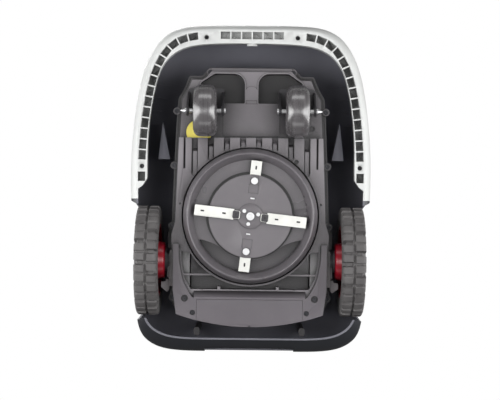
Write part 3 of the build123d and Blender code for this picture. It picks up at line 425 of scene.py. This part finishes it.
def even(points, count):
    """The closed line through the points, cut into count even steps."""
    loop = np.array(points + points[:1], dtype=float)
    run = np.concatenate([[0.0], np.cumsum(np.hypot(*np.diff(loop, axis=0).T))])
    at = np.linspace(0.0, run[-1], count, endpoint=False)
    return np.stack([np.interp(at, run, loop[:, 0]), np.interp(at, run, loop[:, 1])], axis=1)


def step(x, edge, soft):
    """0 below the edge, 1 above it, with a smooth ramp soft wide."""
    t = np.clip((x - edge) / soft + 0.5, 0.0, 1.0)
    return t * t * (3.0 - 2.0 * t)


# ---- Drive tyres --------------------------------------------------------------------------------
TYRE_LUGS = 16
TYRE_STEPS_PER_LUG = 40
TYRE_SECTION_POINTS = 132
TYRE_BEAD = 64.0 * MM
TYRE_BEAD_INSET = 2.0 * MM
TYRE_ROUND = 9.0 * MM
TYRE_SHOULDER_REACH = 0.55
TYRE_SHOULDER_DROP = 0.9
TYRE_TREAD_BAND = 17.0 * MM
TYRE_GROOVE = 8.0 * MM
TYRE_GROOVE_DEPTH = 7.0 * MM
TYRE_NOTCH = 3.4 * MM
TYRE_NOTCH_DEPTH = 3.2 * MM
TYRE_SPLIT = 3.4 * MM
TYRE_SPLIT_DEPTH = 4.0 * MM
TYRE_WALL_RING = (6.0 * MM, 8.0 * MM)
TYRE_WALL_RING_DEPTH = 0.8 * MM


def tyre_section(half, radius):
    """Closed section of (x, radius) points: a rectangle with rounded shoulders, open towards the rim
    between its two beads, with its outward normal at each point, at right angles to the line on."""
    turn = np.linspace(0.0, math.pi / 2, 9)
    shoulder = [(half - TYRE_ROUND * (1 - math.sin(t)) * TYRE_SHOULDER_REACH,
                 radius - TYRE_ROUND * (1 - math.cos(t)) * TYRE_SHOULDER_DROP)
                for t in reversed(turn)]
    right = [(half, TYRE_BEAD + 4 * MM), (half, radius - TYRE_ROUND)] + shoulder
    left = [(-x, r) for x, r in reversed(right)]
    foot = half - TYRE_BEAD_INSET
    section = even([(foot, TYRE_BEAD)] + right + left + [(-foot, TYRE_BEAD)], TYRE_SECTION_POINTS)
    way = np.roll(section, -1, axis=0) - np.roll(section, 1, axis=0)
    way /= np.hypot(way[:, 0], way[:, 1])[:, None]
    normal = np.stack([way[:, 1], -way[:, 0]], axis=1)
    on_tread = len(right) + 20
    if normal[on_tread, 1] < 0:
        normal = -normal
    return section, normal


def tread_depth(x, r, angles, half, radius):
    """How far each point is sunk: the deepest of the grooves across two staggered rows of lugs, a notch
    in each lug and a split between the rows, plus a fine ring in either side wall."""
    pitch = 2 * math.pi / TYRE_LUGS
    stagger = np.where(x > 0, 0.5 * pitch, 0.0)
    phase = (angles[:, None] + stagger) % pitch
    from_groove = np.minimum(phase, pitch - phase) * radius
    from_notch = np.abs(phase - pitch / 2) * radius
    on_tread = step(r, radius - TYRE_TREAD_BAND, 9 * MM)
    off_centre = step(np.abs(x), 2.4 * MM, 1.6 * MM)
    on_crown = step(r, radius - 8 * MM, 4 * MM)
    groove = TYRE_GROOVE_DEPTH * (1 - step(from_groove, TYRE_GROOVE / 2, 1.6 * MM)) * on_tread * off_centre
    notch = TYRE_NOTCH_DEPTH * (1 - step(from_notch, TYRE_NOTCH / 2, 1.2 * MM)) * on_crown
    split = TYRE_SPLIT_DEPTH * (1 - step(np.abs(x), TYRE_SPLIT / 2, 1.4 * MM)) * (r > radius - 12 * MM)
    inner, outer = TYRE_WALL_RING
    in_ring = step(r, TYRE_BEAD + inner, 1 * MM) - step(r, TYRE_BEAD + outer, 1 * MM)
    ring = TYRE_WALL_RING_DEPTH * in_ring * (np.abs(x) > half * 0.9)
    return np.maximum(np.maximum(groove, notch), split) + ring


def drive_tyre(side):
    """Tyre: its section turned round the axle, each point sunk along the section's normal by the tread."""
    low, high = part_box("drive_tyre_" + side)
    middle_x = (low[0] + high[0]) / 2
    half = (high[0] - low[0]) / 2
    centre_y, centre_z = (low[1] + high[1]) / 2, (low[2] + high[2]) / 2
    radius = (high[1] - low[1]) / 2
    section, normal = tyre_section(half, radius)
    angles = np.linspace(0.0, 2 * math.pi, TYRE_LUGS * TYRE_STEPS_PER_LUG, endpoint=False)
    x, r = section[:, 0][None, :], section[:, 1][None, :]
    sink = tread_depth(x, r, angles, half, radius)
    x = x - normal[None, :, 0] * sink + middle_x
    r = r - normal[None, :, 1] * sink
    y = centre_y + r * np.cos(angles)[:, None]
    z = centre_z + r * np.sin(angles)[:, None]
    points = np.stack([x, y, z], axis=-1)
    faces = grid_faces(len(angles), len(section), True, True)
    obj = new_piece("drive_tyre_tread_" + side, points, faces, "tyre_rubber", "drive_wheel_" + side, 50.0)
    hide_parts("drive_tyre_" + side)


# ---- Inside of the hood -------------------------------------------------------------------------
RIB_THICK = 1.8 * MM
RIB_SINK = 0.4 * MM
SIDE_RIB_DEPTH = 5.0 * MM
SIDE_RIB_PLACES = (-0.190, -0.166, -0.142, -0.118)
SIDE_RIB_START = 0.10
SIDE_RIB_HEIGHTS = np.linspace(86 * MM, 190 * MM, 14)
NOSE_RIB_DEPTH = 6.0 * MM
NOSE_RIB_PLACES = (-0.10, -0.06, 0.0, 0.06, 0.10)
NOSE_RIB_START = -0.12
NOSE_RIB_HEIGHTS = np.linspace(86 * MM, 150 * MM, 9)
MIDDLE_RIB_THICK = 14.0 * MM


def hood_probe():
    """A ray tester for the hood's inner wall."""
    points, faces = [], []
    for name in ("hood_shell", "hood_surround"):
        data = frame["nodes"][name].data
        start = len(points)
        points += [v.co.copy() for v in data.vertices]
        faces += [[start + k for k in f.vertices] for f in data.polygons]
    return BVHTree.FromPolygons(points, faces)


def hood_rib(name, probe, foot, way, heights, depth, thick):
    """A thin rib that follows the hood's wall. At each height, a ray from above foot along way finds the
    wall, and the rib's section runs from just inside the wall back towards foot by depth."""
    way = Vector(way)
    side = Vector((-way.y, way.x, 0.0)) * (thick / 2)
    rows = []
    for z in heights:
        start = Vector(foot) + Vector((0, 0, z))
        reach = probe.ray_cast(start, way)[3]
        if reach is None:
            continue
        wall = start + way * (reach + RIB_SINK)
        inner = start + way * (reach - depth)
        rows.append([wall - side, inner - side, inner + side, wall + side])
    points = np.array([[list(p) for p in row] for row in rows])
    new_piece(name, points, capped_faces(len(rows), 4), "hood_black", "hood", 30.0)


def hood_ribs(probe):
    for sign, side in ((-1, "left"), (1, "right")):
        for number, y in enumerate(SIDE_RIB_PLACES):
            name = "hood_rib_%s_%d" % (side, number + 1)
            foot = (sign * SIDE_RIB_START, y, 0.0)
            hood_rib(name, probe, foot, (sign, 0, 0), SIDE_RIB_HEIGHTS, SIDE_RIB_DEPTH, RIB_THICK)
    for number, x in enumerate(NOSE_RIB_PLACES):
        name = "nose_rib_%d" % (number + 1)
        thick = MIDDLE_RIB_THICK if x == 0.0 else RIB_THICK
        hood_rib(name, probe, (x, NOSE_RIB_START, 0.0), (0, -1, 0), NOSE_RIB_HEIGHTS, NOSE_RIB_DEPTH, thick)


WEDGE_POINT_Y = -0.117
WEDGE_LENGTH = 66.0 * MM
WEDGE_INNER_X = 158.5 * MM
WEDGE_OUTER_X = 159.0 * MM
WEDGE_SPREAD_IN = 14.0 * MM
WEDGE_SPREAD_OUT = 6.5 * MM
WEDGE_LOW = 118.0 * MM
WEDGE_HIGH = 150.0 * MM
WEDGE_FALL = 12.0 * MM
WEDGE_CROWN = 2.5 * MM
WEDGE_LEAN = 2.0 * MM


def side_wedge(sign):
    """Tapered guide on the hood's side: a triangle in plan, from a point near the nose to its broad rear
    end, whose lower face is crowned by a sine across its width."""
    side = "left" if sign < 0 else "right"
    along = np.linspace(0.0, 1.0, 24)[:, None]
    across = np.linspace(0.0, 1.0, 11)[None, :]
    inner = WEDGE_INNER_X - WEDGE_SPREAD_IN * along
    outer = WEDGE_OUTER_X + WEDGE_SPREAD_OUT * along
    x = inner + (outer - inner) * across
    y = WEDGE_POINT_Y + WEDGE_LENGTH * along + 0.0 * across
    crown = np.sin(math.pi * across) * WEDGE_CROWN * along
    low = np.stack([sign * x, y, WEDGE_LOW - WEDGE_FALL * along + 0.0 * x - crown], axis=-1)
    high = np.stack([sign * (x + WEDGE_LEAN * across), y, WEDGE_HIGH + 0.0 * x], axis=-1)
    points = np.concatenate([low, high[:, ::-1]], axis=1)
    new_piece("side_wedge_" + side, points, capped_faces(*points.shape[:2]), "hood_black", "hood")


# ---- Dark ring round the rotor, laid as painted shadow ------------------------------------------
SHADOW_RING_OVERLAP = 4.0 * MM
SHADOW_RING_PAST_DISC = 2.2 * MM
SHADOW_RING_WIDER = 2.4 * MM
SHADOW_RING_ABOVE_DISC = 8.4 * MM
SHADOW_RING_HALF_THICK = 0.9 * MM
SHADOW_RING_SIDES = 180
SHADOW_RING_SECTION_POINTS = 12


def disc_shadow_ring():
    """Dark ring over the edge of the disc, a thin black sheet laid as painted shadow of the disc on the
    deck's
    ceiling: a flat oval section carried round a circle, narrower beside the rear recess, with a tanh step
    between the two widths."""
    low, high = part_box("blade_disc")
    centre_x, centre_y = (low[0] + high[0]) / 2, (low[1] + high[1]) / 2
    disc = (high[0] - low[0]) / 2
    around = np.linspace(0.0, 2 * math.pi, SHADOW_RING_SIDES, endpoint=False)[:, None]
    section = np.linspace(0.0, 2 * math.pi, SHADOW_RING_SECTION_POINTS, endpoint=False)[None, :]
    wider = 0.5 - 0.5 * np.tanh((np.sin(around) - 0.35) / 0.2)
    outer = disc + SHADOW_RING_PAST_DISC + SHADOW_RING_WIDER * wider
    inner = disc - SHADOW_RING_OVERLAP
    r = (outer + inner) / 2 + (outer - inner) / 2 * np.cos(section)
    z = high[2] + SHADOW_RING_ABOVE_DISC + SHADOW_RING_HALF_THICK * np.sin(section) + 0.0 * around
    points = np.stack([centre_x + r * np.cos(around), centre_y + r * np.sin(around), z], axis=-1)
    faces = grid_faces(SHADOW_RING_SIDES, SHADOW_RING_SECTION_POINTS, True, True)
    new_piece("disc_shadow_ring", points, faces, "gasket_rubber", "deck")


# ---- Stage and light ----------------------------------------------------------------------------
FLOOR_REACH = 4.0
FLOOR_WHITE = (0.93, 0.93, 0.93, 1.0)
SKY_TO_CAMERA = 1.0
SKY_LIGHT = 0.12


def one_sided(name, colour):
    """A pale stage material that only its front side shows."""
    f = Finish(name)
    f.set(Base_Color=colour, Roughness=0.9)
    f.shader.inputs["Specular IOR Level"].default_value = 0.0
    clear = f.node("ShaderNodeBsdfTransparent")
    back = f.node("ShaderNodeNewGeometry", out=6)
    front = Value(f, f.shader.outputs[0])
    mixed = f.node("ShaderNodeMixShader", {}, {0: back, 1: front, 2: clear})
    f.tree.links.new(mixed.socket, f.output.inputs[0])
    return f.material


def make_floor():
    far = FLOOR_REACH
    data = bpy.data.meshes.new("floor")
    data.from_pydata([(-far, -far, 0), (far, -far, 0), (far, far, 0), (-far, far, 0)], [], [(0, 1, 2, 3)])
    data.materials.append(one_sided("floor_white", FLOOR_WHITE))
    obj = bpy.data.objects.new("floor", data)
    bpy.context.scene.collection.objects.link(obj)
    obj.visible_shadow = False
    obj.visible_diffuse = False
    obj.visible_glossy = False


def area_light(name, place, aim, size, power):
    """A rectangular lamp at place that faces aim. Its size is in metres and its power in watts."""
    data = bpy.data.lights.new(name, "AREA")
    data.shape = "RECTANGLE"
    data.size, data.size_y = size
    data.energy = power
    obj = bpy.data.objects.new(name, data)
    bpy.context.scene.collection.objects.link(obj)
    obj.location = place
    way = Vector(aim) - Vector(place)
    obj.rotation_euler = way.to_track_quat("-Z", "Y").to_euler()


def make_lights():
    """Tall boxes graze the underside from both sides, and weaker ones fill it from all round."""
    hull = (0, 0, 0.1)
    for side in (-1, 1):
        area_light("side_box", (side * 1.15, 0.0, -0.42), (0, 0, 0.08), (0.9, 3.4), 28.0)
        area_light("under_box", (side * 0.95, 0.0, -1.0), hull, (0.4, 2.2), 5.5)
    area_light("front_fill", (0.0, 0.0, -3.2), (0, 0, 0), (1.2, 1.2), 1.5)
    area_light("tail_box", (0.0, 1.6, -0.9), hull, (1.6, 0.5), 2.5)
    area_light("nose_box", (0.0, -1.6, -0.7), hull, (1.6, 0.5), 5.0)
    area_light("top_box", (-0.5, -0.9, 1.9), hull, (1.2, 1.2), 24.0)


def make_world():
    """A white surround to look at, and a softer grey light from it."""
    world = bpy.data.worlds.new("studio")
    world.use_nodes = True
    tree = world.node_tree
    background = tree.nodes["Background"]
    background.inputs[0].default_value = (1.0, 1.0, 1.0, 1.0)
    path = tree.nodes.new("ShaderNodeLightPath")
    strength = tree.nodes.new("ShaderNodeMapRange")
    strength.inputs[3].default_value = SKY_LIGHT
    strength.inputs[4].default_value = SKY_TO_CAMERA
    tree.links.new(path.outputs["Is Camera Ray"], strength.inputs[0])
    tree.links.new(strength.outputs[0], background.inputs[1])
    return world


def make_stage():
    bpy.context.scene.world = make_world()
    bpy.context.scene.view_settings.view_transform = "Standard"
    make_floor()
    make_lights()


# ---- The whole scene ----------------------------------------------------------------------------
make_camera()
make_stage()
finish_all_nodes()
for end in ("left", "right"):
    drive_tyre(end)
hood_ribs(hood_probe())
for way in (-1, 1):
    side_wedge(way)
# A dark ring laid as painted shadow round the disc.
disc_shadow_ring()
